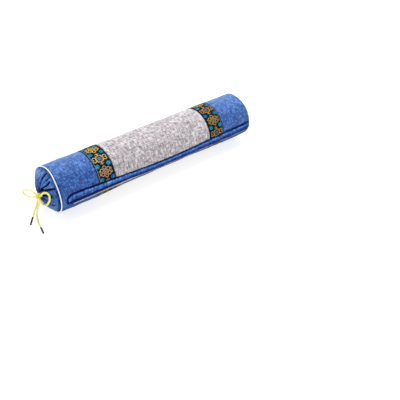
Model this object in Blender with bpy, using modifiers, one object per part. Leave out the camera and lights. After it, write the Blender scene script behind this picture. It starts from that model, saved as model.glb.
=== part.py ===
"""A cervical bolster pillow: a filled roll of plain cloth, tied shut with a drawstring at one end.

The roll lies along X on the surface z = 0, front towards -Y, tied end at -X.
Places round the roll are given as a turn in degrees: 0 at the front, 90 at the top, 180 at the back.
Places under the cover's outer surface are given as an inset; a negative inset stands proud of it.
"""

import math

import bmesh
import bpy
from mathutils import Vector

MM = 0.001

# Driving sizes of the roll, in millimetres
BODY_RADIUS = 50.0
AXIS_HEIGHT = 47.5
AXIS_Y = 1.3  # brings the middle between flap and piping to y = 0
SEAM_X = 240.0
PIECE_GAP = 0.35

# The lower front is drawn in a little, along the roll, below the zip, and more along its middle
TUCK_DEPTH = 2.6
TUCK_TURN = -45.0
TUCK_SPREAD = 38.0
MIDDLE_TUCK_DEPTH = 2.3
MIDDLE_TUCK_TURN = -52.0
MIDDLE_TUCK = (
    # (x, share of that depth)
    (-150.0, 0.0),
    (-135.0, 0.16),
    (-120.0, 0.5),
    (-105.0, 0.84),
    (-90.0, 1.0),
    (120.0, 1.0),
    (137.0, 0.84),
    (155.0, 0.5),
    (173.0, 0.16),
    (190.0, 0.0),
)

# Towards the end seams it is drawn in further, and the seams lean in at the top and underneath
END_TUCK_DEPTH = 4.4
END_TUCK_TURN = -66.0
END_TUCK_REACH = 34.0
LEAN_TOP = 3.0
LEAN_UNDER = 4.0
LEAN_REACH = 30.0
END_EVEN = 5.0

# Woven ribbons over the joins between the blue and the grey cloth
RIBBON_CENTRES = (-136.0, 144.0)
RIBBON_WIDTH = 38.0
RIBBON_THICKNESS = 1.0
RIBBON_GROOVE = 1.3
GROOVE_SLOPE = 1.2
RIBBON_TUCK = (1.8, 0.8, 4.6)  # turn past the flap's upper edge, inset there, turn where it is flush
RIBBON_HEM = -7.0  # turn past the flap's lower edge

# Piping in each end seam
PIPING_RADIUS = 1.3
PIPING_INSET = 0.6
PIPING_POINTS = 48

# Flap over the zip: its two edges as turns, read along the roll
FLAP_START = -226.0
FLAP_END = 237.0
FLAP_CORNER = 14.0
FLAP_CORNER_DROP = 9.0
FLAP_THICKNESS = 1.7
FLAP_EDGES = (
    # (x, lower edge turn, upper edge turn)
    (-226.0, -8.6, 13.2),
    (-200.0, -7.8, 12.8),
    (-156.0, -7.6, 10.4),
    (-116.0, -7.6, 8.2),
    (-62.0, -8.2, 4.4),
    (0.0, -9.0, 2.0),
    (40.0, -9.2, 2.4),
    (125.0, -9.4, 4.6),
    (200.0, -8.4, 6.8),
    (240.0, -7.6, 8.6),
)
FLAP_SECTION = (
    # (share of the way from the lower to the upper edge, rise over the cover)
    (0.00, 2.1),
    (0.14, 2.7),
    (0.45, 2.9),
    (0.78, 3.2),
    (0.92, 2.3),
    (1.00, 0.4),
)

# How the cover is drawn in along the zip and along the flap's seam
SEAM_FEATURES = (
    # (edge of the flap, turn past that edge, inset of the cover)
    ("lower", -7.4, 0.0),
    ("lower", -6.6, 1.3),
    ("lower", 2.2, 1.3),
    ("lower", 4.6, 0.0),
    ("upper", -4.4, 0.0),
    ("upper", -1.8, 2.2),
    ("upper", 1.4, 2.2),
    ("upper", 4.2, 0.0),
)
SEAM_FADE = 7.0
PLAIN_TURNS = 42

# Zip: a tape under the flap, and the chain of teeth along it
ZIP_START = -214.0
ZIP_END = 236.0
TAPE_TURNS = (-6.2, 1.6)
TAPE_INSET = 0.2
TAPE_THICKNESS = 0.8
CHAIN_TURN = -4.4
CHAIN_INSET = -0.85
CHAIN_RADIUS = 0.7

# Shoulder of the cover beside the piping
SHOULDER = (
    # (distance from the end seam, inset)
    (PIECE_GAP, 3.0),
    (1.2, 2.6),
    (1.9, 1.8),
    (2.2, 1.0),
    (4.0, 0.7),
    (9.0, 0.3),
    (16.0, 0.0),
)
SHOULDER_LIFT = 1.2

# Flat back of each gathered end, and the hollow in the panel that takes it
BACK_DEPTH = 9.0
BACK_RADIUS = 36.0

# Gathered ends
GATHER_RIM = (
    # (distance past the end seam, radius)
    (PIECE_GAP, 46.7),
    (1.2, 46.9),
    (1.9, 47.3),
    (2.2, 47.5),
)
GATHER_DEPTH = 18.0
GATHER_REACH = 50.0
GATHER_RADII = (46.4, 42.5, 37.5, 32.0, 26.0, 20.0, 14.0, 9.5)
GATHER_ROUNDNESS = 1.5
GATHER_SHARPNESS = 1.2
MOUTH = (
    # (distance past the end seam, radius) of the hole that the cord leaves by
    (16.2, 6.6),
    (13.5, 5.2),
    (7.0, 4.8),
)
PLEAT_COUNT = 18
PLEAT_HEIGHT = 2.2
PLEAT_UNEVEN = 0.38

# Drawstring: a bow knot at the tied end, two loops and two free ends with tips
CORD_RADIUS = 1.9
KNOT_CENTRE = (-263.0, -3.0, 48.5)
KNOT_RADII = (5.0, 4.4, 4.4)
LOOP_BACK_ROUTE = (
    # (x, y, z)
    (-265.6, 2.6, 50.2),
    (-267.5, 8.5, 53.0),
    (-271.0, 17.5, 54.0),
    (-275.5, 27.0, 49.5),
    (-278.0, 31.5, 43.5),
    (-276.5, 29.5, 38.0),
    (-272.5, 21.5, 36.0),
    (-268.0, 11.0, 39.0),
    (-265.4, 2.8, 45.4),
)
LOOP_FRONT_ROUTE = (
    # (x, y, z)
    (-262.6, -8.6, 51.0),
    (-261.0, -10.8, 55.6),
    (-258.9, -14.9, 60.9),
    (-256.4, -20.1, 64.3),
    (-254.5, -25.8, 64.4),
    (-253.7, -29.2, 60.4),
    (-254.3, -29.8, 53.2),
    (-255.8, -27.2, 45.0),
    (-257.6, -22.4, 37.1),
    (-259.2, -16.0, 32.7),
    (-261.2, -11.4, 34.1),
    (-263.2, -9.6, 39.8),
    (-264.8, -9.2, 45.6),
)
END_BACK_ROUTE = (
    # (x, y, z)
    (-265.4, -1.4, 43.0),
    (-266.0, -1.0, 37.2),
    (-267.2, -1.1, 31.4),
    (-269.3, -1.6, 26.0),
    (-272.2, -2.4, 21.2),
    (-275.3, -3.7, 16.9),
    (-278.4, -5.6, 13.4),
    (-281.1, -7.8, 11.0),
    (-283.2, -9.7, 9.7),
)
END_FRONT_ROUTE = (
    # (x, y, z)
    (-262.6, -5.8, 43.0),
    (-264.4, -6.0, 36.0),
    (-266.9, -6.3, 29.0),
    (-269.6, -6.9, 22.2),
    (-272.2, -8.0, 15.8),
    (-274.3, -10.0, 10.0),
    (-275.8, -13.2, 5.8),
    (-277.2, -17.8, 3.3),
    (-278.7, -23.4, 2.5),
    (-280.3, -30.0, 2.4),
    (-281.9, -37.3, 2.4),
)
TIP_LENGTH = 16.0
TIP_RADIUS = 2.1
TIP_SIDES = 12

# Cloth and cord colours, roughness
BLUE_CLOTH = ((0.055, 0.125, 0.42), 0.85)
GREY_CLOTH = ((0.50, 0.46, 0.48), 0.85)
RIBBON_WEAVE = ((0.01, 0.06, 0.09), 0.6)
PIPING_CLOTH = ((0.85, 0.86, 0.88), 0.75)
ZIP_TAPE = ((0.72, 0.70, 0.60), 0.7)
CORD_YELLOW = ((0.80, 0.68, 0.08), 0.5)
TIP_DARK = ((0.03, 0.02, 0.02), 0.3)


def clear_scene():
    """Removes every object of the startup scene."""
    for obj in list(bpy.data.objects):
        bpy.data.objects.remove(obj, do_unlink=True)


def material_of(name, look):
    """A plain Principled material of one colour and roughness."""
    colour, roughness = look
    made = bpy.data.materials.new(name)
    made.use_nodes = True
    shader = made.node_tree.nodes["Principled BSDF"]
    shader.inputs["Base Color"].default_value = (*colour, 1.0)
    shader.inputs["Roughness"].default_value = roughness
    return made


def between(table, x, column):
    """The value of a column at x, on straight lines between the table's rows."""
    if x <= table[0][0]:
        return table[0][column]
    for low, high in zip(table, table[1:]):
        if x <= high[0]:
            share = (x - low[0]) / (high[0] - low[0])
            return low[column] + share * (high[column] - low[column])
    return table[-1][column]


def swell(x, turn):
    """Slow unevenness of the filling, which fades out at both end seams."""
    angle = math.radians(turn)
    fade = max(0.0, 1.0 - (x / SEAM_X) ** 2)
    waves = math.sin(x / 47.0 + 2.0 * angle) + 0.6 * math.sin(x / 29.0 - 3.0 * angle + 1.0)
    return 0.35 * fade * waves


def trough(turn, centre, depth):
    """The depth at a turn of a smooth trough along the roll."""
    away = (turn - centre + 180.0) % 360.0 - 180.0
    share = min(1.0, abs(away) / TUCK_SPREAD)
    return depth * math.cos(0.5 * math.pi * share) ** 2


def near_end(x, reach):
    """0 along the roll, rising to 1 over the last stretch before an end seam and its shoulder."""
    return min(1.0, max(0.0, (abs(x) - SEAM_X + reach) / (reach - END_EVEN))) ** 2


def tuck(x, turn):
    """How far the section is drawn in: along the lower front, and more near the end seams."""
    end = END_TUCK_DEPTH * near_end(x, END_TUCK_REACH)
    middle = MIDDLE_TUCK_DEPTH * between(MIDDLE_TUCK, x, 1)
    depth = trough(turn, TUCK_TURN, TUCK_DEPTH) + trough(turn, MIDDLE_TUCK_TURN, middle)
    return depth + trough(turn, END_TUCK_TURN, end)


def seam_lean(turn):
    """How far the end seams lean towards the middle of the roll at a turn."""
    height = math.sin(math.radians(turn))
    return LEAN_TOP * height**6 if height > 0.0 else LEAN_UNDER * height**4


def on_section(x, turn, inset, floor=0.0):
    """A point of the roll's section at x, in metres: round, and flat where it lies on the surface."""
    angle = math.radians(turn)
    radius = BODY_RADIUS + swell(x, turn) - tuck(x, turn) - inset
    lean = math.copysign(seam_lean(turn) * near_end(x, LEAN_REACH), x)
    y = AXIS_Y - radius * math.cos(angle)
    z = max(AXIS_HEIGHT + radius * math.sin(angle), inset, floor)
    return Vector((x - lean, y, z)) * MM


def flap_edge(x, edge):
    """The turn of the flap's lower or upper edge at x, with the upper one rounded off at the start."""
    if edge == "lower":
        return between(FLAP_EDGES, x, 1)
    into = min(1.0, max(0.0, (FLAP_START + FLAP_CORNER - x) / FLAP_CORNER))
    drop = FLAP_CORNER_DROP * (1.0 - math.sqrt(1.0 - into * into))
    return between(FLAP_EDGES, x, 2) - drop


def cover_turns(x):
    """Every turn at which the cover has a point at x, in order: the seam's own turns, then even ones."""
    seam = [flap_edge(x, edge) + past for edge, past, _ in SEAM_FEATURES]
    step = (360.0 + seam[0] - seam[-1]) / (PLAIN_TURNS + 1)
    return seam + [seam[-1] + step * (i + 1) for i in range(PLAIN_TURNS)]


def cover_inset(x, index):
    """How far the cover is drawn in at x, at the turn of that index: seam, ribbon groove and shoulder."""
    fade = min(1.0, max(0.0, (x - FLAP_START + SEAM_FADE) / SEAM_FADE))
    seam = SEAM_FEATURES[index][2] * fade if index < len(SEAM_FEATURES) else 0.0
    groove = 0.0
    for centre in RIBBON_CENTRES:
        past = abs(x - centre) - RIBBON_WIDTH / 2 - PIECE_GAP
        groove = max(groove, RIBBON_GROOVE * min(1.0, max(0.0, 1.0 - past / GROOVE_SLOPE)))
    shoulder = between(SHOULDER, SEAM_X - abs(x), 1)
    return max(seam, groove, shoulder)


def new_object(name, mesh, look, group):
    obj = bpy.data.objects.new(name, mesh)
    obj.data.materials.append(look)
    group.objects.link(obj)
    return obj


def loft(name, rings, look, group):
    """One closed solid through rings of equally many points, shut by a flat face at each end."""
    mesh = bpy.data.meshes.new(name)
    shape = bmesh.new()
    rows = [[shape.verts.new(point) for point in ring] for ring in rings]
    count = len(rows[0])
    for first, second in zip(rows, rows[1:]):
        for i in range(count):
            j = (i + 1) % count
            shape.faces.new((first[i], first[j], second[j], second[i]))
    shape.faces.new(rows[0])
    shape.faces.new(rows[-1])
    bmesh.ops.recalc_face_normals(shape, faces=shape.faces)
    shape.to_mesh(mesh)
    shape.free()
    return new_object(name, mesh, look, group)


def sheet(name, rows, thickness, look, group):
    """An open surface through rows of points, thickened inwards with Solidify."""
    mesh = bpy.data.meshes.new(name)
    shape = bmesh.new()
    grid = [[shape.verts.new(point) for point in row] for row in rows]
    for first, second in zip(grid, grid[1:]):
        for i in range(len(first) - 1):
            shape.faces.new((first[i], second[i], second[i + 1], first[i + 1]))
    shape.to_mesh(mesh)
    shape.free()
    obj = new_object(name, mesh, look, group)
    wall = obj.modifiers.new("wall", "SOLIDIFY")
    wall.thickness = thickness * MM
    wall.offset = -1.0
    wall.use_even_offset = True
    return obj


def tube(name, points, radius, look, group, closed=False):
    """A round cord through points in metres, as a poly curve with a bevel."""
    data = bpy.data.curves.new(name, "CURVE")
    data.dimensions = "3D"
    data.bevel_depth = radius * MM
    data.bevel_resolution = 2
    data.use_fill_caps = not closed
    line = data.splines.new("POLY")
    line.points.add(len(points) - 1)
    for place, point in zip(line.points, points):
        place.co = (*point, 1.0)
    line.use_cyclic_u = closed
    return new_object(name, data, look, group)


def smooth_route(route, steps):
    """Points along a smooth curve through a route's own points, from millimetres to metres."""
    own = [Vector(point) * MM for point in route]
    ends = [2 * own[0] - own[1]] + own + [2 * own[-1] - own[-2]]
    points = []
    for before, start, end, after in zip(ends, ends[1:], ends[2:], ends[3:]):
        for i in range(steps):
            t = i / steps
            turn = (end - before) * t + (2 * before - 5 * start + 4 * end - after) * t**2
            points.append(start + 0.5 * (turn + (3 * start - before - 3 * end + after) * t**3))
    return points + [own[-1]]


def stations(start, end, marks, spacing):
    """Places along X from start to end: the marks that lie between, and even steps over long gaps."""
    inside = sorted({x for x in marks if start < x < end} | {start, end})
    places = [start]
    for low, high in zip(inside, inside[1:]):
        parts = max(1, round((high - low) / spacing))
        places += [low + (high - low) * (i + 1) / parts for i in range(parts)]
    return places


def cover_marks():
    """Places along X where the cover changes shape."""
    marks = [FLAP_START - SEAM_FADE, FLAP_START, FLAP_START + 2.0, FLAP_START + 6.0]
    marks.append(FLAP_START + FLAP_CORNER)
    for centre in RIBBON_CENTRES:
        for side in (-1, 1):
            edge = RIBBON_WIDTH / 2 + PIECE_GAP
            marks += [centre + side * edge, centre + side * (edge + GROOVE_SLOPE)]
    for distance, _ in SHOULDER:
        marks += [distance - SEAM_X, SEAM_X - distance]
    return marks


def back_ring(x, turns):
    """A flat ring inside the roll, where a gathered end backs on to its panel."""
    points = []
    for turn in turns:
        angle = math.radians(turn)
        y = AXIS_Y - BACK_RADIUS * math.cos(angle)
        points.append(Vector((x, y, AXIS_HEIGHT + BACK_RADIUS * math.sin(angle))) * MM)
    return points


def panel(name, start, end, look, group):
    """A filled length of the roll, covered in one panel of cloth."""
    rings = []
    for x in stations(start, end, cover_marks(), 32.0):
        shoulder = between(SHOULDER, SEAM_X - abs(x), 1)
        floor = shoulder + SHOULDER_LIFT * min(1.0, shoulder)
        turns = enumerate(cover_turns(x))
        rings.append([on_section(x, turn, cover_inset(x, i), floor) for i, turn in turns])
    back = SEAM_X - BACK_DEPTH
    if start < -back:
        rings.insert(0, back_ring(-back, cover_turns(start)))
    if end > back:
        rings.append(back_ring(back, cover_turns(end)))
    return loft(name, rings, look, group)


def ribbon(name, centre, look, group):
    """A woven ribbon round the roll, from over the flap's seam to below the zip."""
    rows = []
    for x in (centre - RIBBON_WIDTH / 2, centre, centre + RIBBON_WIDTH / 2):
        turns = cover_turns(x)
        plain = turns[len(SEAM_FEATURES) :]
        low, high = flap_edge(x, "lower"), flap_edge(x, "upper")
        row = [on_section(x, high + RIBBON_TUCK[0], RIBBON_TUCK[1])]
        row += [on_section(x, turn, 0.0) for turn in [high + RIBBON_TUCK[2]] + plain]
        rows.append(row + [on_section(x, 360.0 + low + RIBBON_HEM, 0.0)])
    return sheet(name, rows, RIBBON_THICKNESS, look, group)


def flap(look, group):
    """The padded strip over the zip, sewn in along its upper edge and free along its lower one."""
    marks = [FLAP_START + 1.0, FLAP_START + 3.0, FLAP_START + 7.0, FLAP_START + FLAP_CORNER]
    rows = []
    for x in stations(FLAP_START, FLAP_END, marks, 22.0):
        low, high = flap_edge(x, "lower"), flap_edge(x, "upper")
        rows.append([on_section(x, low + share * (high - low), -rise) for share, rise in FLAP_SECTION])
    return sheet("flap", rows, FLAP_THICKNESS, look, group)


def zip_tape(look, group):
    """The zip's tape, which shows as a thin line under the flap's free edge."""
    rows = []
    across = (TAPE_TURNS[0], sum(TAPE_TURNS) / 2, TAPE_TURNS[1])
    for x in stations(ZIP_START, ZIP_END, (), 26.0):
        low = flap_edge(x, "lower")
        rows.append([on_section(x, low + past, TAPE_INSET) for past in across])
    return sheet("zip_tape", rows, TAPE_THICKNESS, look, group)


def zip_chain(look, group):
    """The closed row of zip teeth, as one slim cord along the tape."""
    places = stations(ZIP_START + 2.0, ZIP_END - 2.0, (), 16.0)
    points = [on_section(x, flap_edge(x, "lower") + CHAIN_TURN, CHAIN_INSET) for x in places]
    return tube("zip_chain", points, CHAIN_RADIUS, look, group)


def piping(name, x, look, group):
    """A covered cord sewn into an end seam, pressed flat against the surface below."""
    floor = PIPING_RADIUS + 0.05
    turns = [360.0 * i / PIPING_POINTS for i in range(PIPING_POINTS)]
    points = [on_section(x, turn, PIPING_INSET, floor) for turn in turns]
    return tube(name, points, PIPING_RADIUS, look, group, closed=True)


def pleat_turns():
    """(turn, height share) round a gathered end: each pleat has a deep valley, two shoulders and a ridge."""
    widths = [1.0 + PLEAT_UNEVEN * math.sin(2.4 * i) for i in range(PLEAT_COUNT)]
    whole = 360.0 / sum(widths)
    turn = 0.0
    places = []
    for i, width in enumerate(widths):
        size = 0.65 + 0.35 * math.sin(1.7 * i + 0.5)
        for share, height in ((0.0, -1.0), (0.2, 0.25), (0.55, 0.8), (0.85, 0.2)):
            places.append((turn + share * width * whole, height * size))
        turn += width * whole
    return places


def gather_depth(radius):
    """How far the gathered end bulges past its seam at a radius."""
    share = 1.0 - (radius / GATHER_REACH) ** GATHER_ROUNDNESS
    return GATHER_DEPTH * share ** (1.0 / GATHER_SHARPNESS)


def gather(name, side, look, group):
    """A filled end of the roll: cloth from the piped seam, pleated in to a small mouth."""
    pleats = pleat_turns()
    rim_radius = GATHER_RIM[-1][1]
    rim_floor = BODY_RADIUS - rim_radius + SHOULDER_LIFT
    profile = [(depth, radius, 0.0, BODY_RADIUS - radius + SHOULDER_LIFT) for depth, radius in GATHER_RIM]
    for radius in GATHER_RADII:
        height = PLEAT_HEIGHT * min(1.0, (rim_radius - radius) / 14.0, radius / 16.0)
        profile.append((gather_depth(radius), radius, height, rim_floor))
    profile += [(depth, radius, 0.0, rim_floor) for depth, radius in MOUTH]
    rings = [back_ring(side * (SEAM_X - BACK_DEPTH + 1.0), [turn for turn, _ in pleats])]
    for depth, radius, height, floor in profile:
        ring = []
        for turn, share in pleats:
            outwards = min(1.0, radius / GATHER_RIM[0][1])
            x = side * (SEAM_X + depth + height * share - seam_lean(turn) * outwards**2)
            angle = math.radians(turn)
            drawn = radius - tuck(SEAM_X, turn) * outwards
            y = AXIS_Y - drawn * math.cos(angle)
            z = max(AXIS_HEIGHT + drawn * math.sin(angle), floor)
            ring.append(Vector((x, y, z)) * MM)
        rings.append(ring)
    return loft(name, rings, look, group)


def bow_knot(look, group):
    """The tied knot, with the neck of doubled cord that leads it out of the mouth."""
    bpy.ops.mesh.primitive_uv_sphere_add(segments=16, ring_count=10, radius=1.0)
    obj = bpy.context.object
    obj.name = obj.data.name = "bow_knot"
    for vertex in obj.data.vertices:
        ridge = 1.0 + 0.10 * math.cos(3.0 * math.atan2(vertex.co.z, vertex.co.x))
        size = [KNOT_RADII[k] * vertex.co[k] * ridge for k in range(3)]
        vertex.co = (Vector(KNOT_CENTRE) + Vector(size)) * MM
    for held in list(obj.users_collection):
        held.objects.unlink(obj)
    group.objects.link(obj)
    obj.data.materials.append(look)
    neck_start = Vector((-SEAM_X - MOUTH[-1][0] - 2.0, AXIS_Y, AXIS_HEIGHT)) * MM
    neck = tube("neck", [neck_start, Vector(KNOT_CENTRE) * MM], 1.9 * CORD_RADIUS, look, group)
    return joined(obj, neck, group)


def joined(obj, curve, group):
    """Joins a capped curve to a mesh object as one solid, with a Boolean union."""
    graph = bpy.context.evaluated_depsgraph_get()
    mesh = bpy.data.meshes.new_from_object(curve.evaluated_get(graph))
    shape = bmesh.new()
    shape.from_mesh(mesh)
    bmesh.ops.remove_doubles(shape, verts=shape.verts, dist=0.00001)
    shape.to_mesh(mesh)
    shape.free()
    added = bpy.data.objects.new(curve.name + "_solid", mesh)
    added.matrix_world = curve.matrix_world
    group.objects.link(added)
    bpy.data.objects.remove(curve, do_unlink=True)
    union = obj.modifiers.new("union", "BOOLEAN")
    union.operation = "UNION"
    union.object = added
    added.hide_render = True
    added.display_type = "WIRE"
    return obj


def cord_tip(name, start, direction, look, group):
    """A turned tip on a cord's end: a sleeve with a collar, as a profile turned by Screw."""
    profile = (
        (0.0, TIP_LENGTH),
        (0.55 * TIP_RADIUS, TIP_LENGTH),
        (0.9 * TIP_RADIUS, 0.93 * TIP_LENGTH),
        (0.9 * TIP_RADIUS, 0.30 * TIP_LENGTH),
        (TIP_RADIUS, 0.24 * TIP_LENGTH),
        (TIP_RADIUS, 0.06 * TIP_LENGTH),
        (0.85 * TIP_RADIUS, 0.0),
        (0.0, 0.0),
    )
    mesh = bpy.data.meshes.new(name)
    points = [(radius * MM, 0.0, length * MM) for radius, length in profile]
    mesh.from_pydata(points, [(i, i + 1) for i in range(len(points) - 1)], [])
    obj = new_object(name, mesh, look, group)
    screw = obj.modifiers.new("turn", "SCREW")
    screw.steps = screw.render_steps = TIP_SIDES
    screw.use_merge_vertices = True
    screw.merge_threshold = 0.00001
    obj.location = start
    obj.rotation_mode = "QUATERNION"
    obj.rotation_quaternion = direction.to_track_quat("Z", "Y")
    return obj


def free_end(name, route, look, tip_look, group):
    """A free end of the drawstring, with its tip a gap away."""
    points = smooth_route(route, 3)
    tube("cord_" + name, points, CORD_RADIUS, look, group)
    direction = (points[-1] - points[-2]).normalized()
    cord_tip("tip_" + name, points[-1] + direction * PIECE_GAP * MM, direction, tip_look, group)


def main():
    clear_scene()
    parts = bpy.data.collections.new("cervical_bolster_pillow")
    bpy.context.scene.collection.children.link(parts)
    blue = material_of("blue_cloth", BLUE_CLOTH)
    grey = material_of("grey_cloth", GREY_CLOTH)
    weave = material_of("ribbon_weave", RIBBON_WEAVE)
    white = material_of("piping_cloth", PIPING_CLOTH)
    cream = material_of("zip_cream", ZIP_TAPE)
    yellow = material_of("cord_yellow", CORD_YELLOW)
    dark = material_of("tip_dark", TIP_DARK)

    left_join, right_join = RIBBON_CENTRES
    half_gap = PIECE_GAP / 2
    end_x = SEAM_X - PIECE_GAP
    panel("panel_left", -end_x, left_join - half_gap, blue, parts)
    panel("panel_middle", left_join + half_gap, right_join - half_gap, grey, parts)
    panel("panel_right", right_join + half_gap, end_x, blue, parts)
    ribbon("ribbon_left", left_join, weave, parts)
    ribbon("ribbon_right", right_join, weave, parts)
    flap(blue, parts)
    zip_tape(cream, parts)
    zip_chain(cream, parts)
    for name, side in (("left", -1), ("right", 1)):
        piping("piping_" + name, side * SEAM_X, white, parts)
        gather("gather_" + name, side, blue, parts)

    bow_knot(yellow, parts)
    tube("cord_loop_back", smooth_route(LOOP_BACK_ROUTE, 2), CORD_RADIUS, yellow, parts)
    tube("cord_loop_front", smooth_route(LOOP_FRONT_ROUTE, 2), CORD_RADIUS, yellow, parts)
    free_end("end_back", END_BACK_ROUTE, yellow, dark, parts)
    free_end("end_front", END_FRONT_ROUTE, yellow, dark, parts)


main()
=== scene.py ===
import math

import bpy
import numpy as np
from mathutils import Matrix, Vector


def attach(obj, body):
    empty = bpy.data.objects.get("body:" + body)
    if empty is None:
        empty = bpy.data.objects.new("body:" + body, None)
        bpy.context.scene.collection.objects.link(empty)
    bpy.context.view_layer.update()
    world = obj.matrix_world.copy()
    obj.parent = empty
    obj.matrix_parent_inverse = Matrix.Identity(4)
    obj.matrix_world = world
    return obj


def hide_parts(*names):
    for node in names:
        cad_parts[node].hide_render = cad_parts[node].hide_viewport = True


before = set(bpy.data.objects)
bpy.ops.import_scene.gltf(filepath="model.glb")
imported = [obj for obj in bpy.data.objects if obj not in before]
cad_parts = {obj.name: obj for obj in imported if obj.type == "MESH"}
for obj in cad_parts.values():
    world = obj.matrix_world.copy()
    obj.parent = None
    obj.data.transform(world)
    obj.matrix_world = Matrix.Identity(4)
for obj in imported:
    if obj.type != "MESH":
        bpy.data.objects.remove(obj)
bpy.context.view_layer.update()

MM = 0.001
FULL_TURN = 2 * math.pi

# Sizes of the roll, in millimetres and in degrees of turn round it.
AXIS_Y, AXIS_Z, RADIUS = 1.3, 47.5, 50
MM_PER_DEGREE = math.radians(RADIUS)
SEAM_X = 240
RIBBON_CENTRES = (-136, 144)
RIBBON_HALF = 19
THREAD = 0.4
FLAP_START, FLAP_END, FLAP_CORNER, FLAP_DROP = -226, 237, 14, 9
FLAP_EDGES = np.array([
    # x, lower edge turn, upper edge turn
    (-240, -8.8, 12.8), (-226, -8.6, 13.2), (-200, -7.8, 12.8), (-156, -7.6, 10.4),
    (-116, -7.6, 8.2), (-62, -8.2, 4.4), (0, -9, 2), (40, -9.2, 2.4),
    (125, -9.4, 4.6), (200, -8.4, 6.8), (240, -7.6, 8.6),
])

# The photograph's own viewpoint, found from the roll's outline and seams.
SENSOR = 36
FOCAL_PIXELS, PICTURE_PIXELS = 669.51, 400
CAMERA_PLACE = (-690.5, -922.7 + AXIS_Y, 868.8 + AXIS_Z - 50)
CAMERA_AXES = (
    (0.76852635, -0.63705012, 0.05945088),
    (0.37161083, 0.52007378, 0.76904399),
    (-0.52083841, -0.56893797, 0.63642512),
)


def place_camera():
    data = bpy.data.cameras.new("view")
    data.sensor_width = SENSOR
    data.lens = SENSOR * FOCAL_PIXELS / PICTURE_PIXELS
    data.clip_end = 20
    camera = bpy.data.objects.new("view", data)
    bpy.context.scene.collection.objects.link(camera)
    turn = Matrix([Vector(axis) for axis in CAMERA_AXES]).transposed().to_4x4()
    camera.matrix_world = Matrix.Translation(Vector(CAMERA_PLACE) * MM) @ turn
    bpy.context.scene.camera = camera


place_camera()


# Helpers for numbers and meshes.
def unit(v):
    return v / np.maximum(np.linalg.norm(v, axis=-1, keepdims=True), 1e-12)


def smoothstep(a, b, x):
    t = np.clip((x - a) / (b - a), 0, 1)
    return t * t * (3 - 2 * t)


def window(a, b, c, d, x):
    """Rises from a to b, and falls from c to d."""
    return smoothstep(a, b, x) * (1 - smoothstep(c, d, x))


def bell(x, width):
    return np.exp(-((x / width) ** 2))


def wrapped(turn):
    """A turn in degrees, from -180 to 180."""
    return (turn + 180) % 360 - 180


def ripples(seed, x, turn, across, around, count=14):
    """Smooth seeded unevenness over the cover: waves along x (mm), and whole numbers of waves round it."""
    rng = np.random.default_rng(seed)
    total = np.zeros(np.broadcast(x, turn).shape)
    for _ in range(count):
        wave = rng.uniform(*across)
        turns = rng.integers(around[0], around[1] + 1)
        side = rng.choice((-1, 1))
        phase = rng.uniform(0, FULL_TURN)
        total += np.cos(FULL_TURN * x / wave * side + np.radians(turn) * turns + phase)
    return total / math.sqrt(count / 2)


def at_lengths(at, step, line):
    """Values of a line's rows at other lengths than its own steps."""
    return np.stack([np.interp(at, step, line[:, k]) for k in range(3)], axis=-1)


def rounded(points, steps):
    """A smooth curve through points, with so many steps between two of them."""
    own = np.asarray(points, float)
    ends = np.vstack([2 * own[0] - own[1], own, 2 * own[-1] - own[-2]])
    t = np.linspace(0, 1, steps, endpoint=False)[:, None]
    out = []
    for a, b, c, d in zip(ends, ends[1:], ends[2:], ends[3:]):
        square, cube = (2 * a - 5 * b + 4 * c - d) * t**2, (3 * b - a - 3 * c + d) * t**3
        out.append(b + 0.5 * ((c - a) * t + square + cube))
    return np.vstack(out + [own[-1:]])


def round_ring(sides):
    return np.linspace(0, FULL_TURN, sides, endpoint=False)


def lengths_along(line):
    return np.concatenate([[0], np.cumsum(np.linalg.norm(np.diff(line, axis=0), axis=1))])


def path_distance(u, w, path):
    """Distance from points (u, w) to a polyline, and how far along it the nearest place is, 0 to 1."""
    path = np.asarray(path, float)
    length = lengths_along(path)
    best, share = np.full(np.broadcast(u, w).shape, 1e9), np.zeros(np.broadcast(u, w).shape)
    for k, (p, q) in enumerate(zip(path, path[1:])):
        d = q - p
        t = np.clip(((u - p[0]) * d[0] + (w - p[1]) * d[1]) / (d @ d), 0, 1)
        far = np.hypot(u - p[0] - t * d[0], w - p[1] - t * d[1])
        closer = far < best
        best = np.where(closer, far, best)
        share = np.where(closer, (length[k] + t * (length[k + 1] - length[k])) / length[-1], share)
    return best, share


def mesh_piece(name, verts, faces, look, node=None, corners=None, shade=None):
    """A smooth mesh from points in mm, on the part's body, in place of its CAD node, with its look.

    corners holds one colour a face, and shade one number a point: the painted shade and light of its cloth."""
    mesh = bpy.data.meshes.new(name)
    mesh.from_pydata((np.asarray(verts) * MM).tolist(), [], faces)
    mesh.polygons.foreach_set("use_smooth", np.ones(len(mesh.polygons), bool))
    mesh.materials.append(look)
    if shade is not None:
        values = mesh.attributes.new("shade", "FLOAT", "POINT").data
        values.foreach_set("value", np.asarray(shade, np.float32).ravel())
    if corners is not None:
        sides = np.zeros(len(mesh.polygons), dtype=np.int32)
        mesh.polygons.foreach_get("loop_total", sides)
        layer = mesh.attributes.new("thread", "FLOAT_COLOR", "CORNER")
        layer.data.foreach_set("color", np.repeat(corners, sides, axis=0).astype(np.float32).ravel())
    mesh.update()
    obj = bpy.data.objects.new(name, mesh)
    bpy.context.scene.collection.objects.link(obj)
    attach(obj, "root")
    if node:
        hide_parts(node)
    return obj


def grid_faces(rows, cols, closed=False, start=0):
    """Quads of a grid of rows by cols points, in row-major order."""
    i, j = np.meshgrid(np.arange(rows - 1), np.arange(cols if closed else cols - 1), indexing="ij")
    k = (j + 1) % cols
    quads = np.stack([i * cols + j, (i + 1) * cols + j, (i + 1) * cols + k, i * cols + k], axis=-1)
    return quads.reshape(-1, 4) + start


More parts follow.
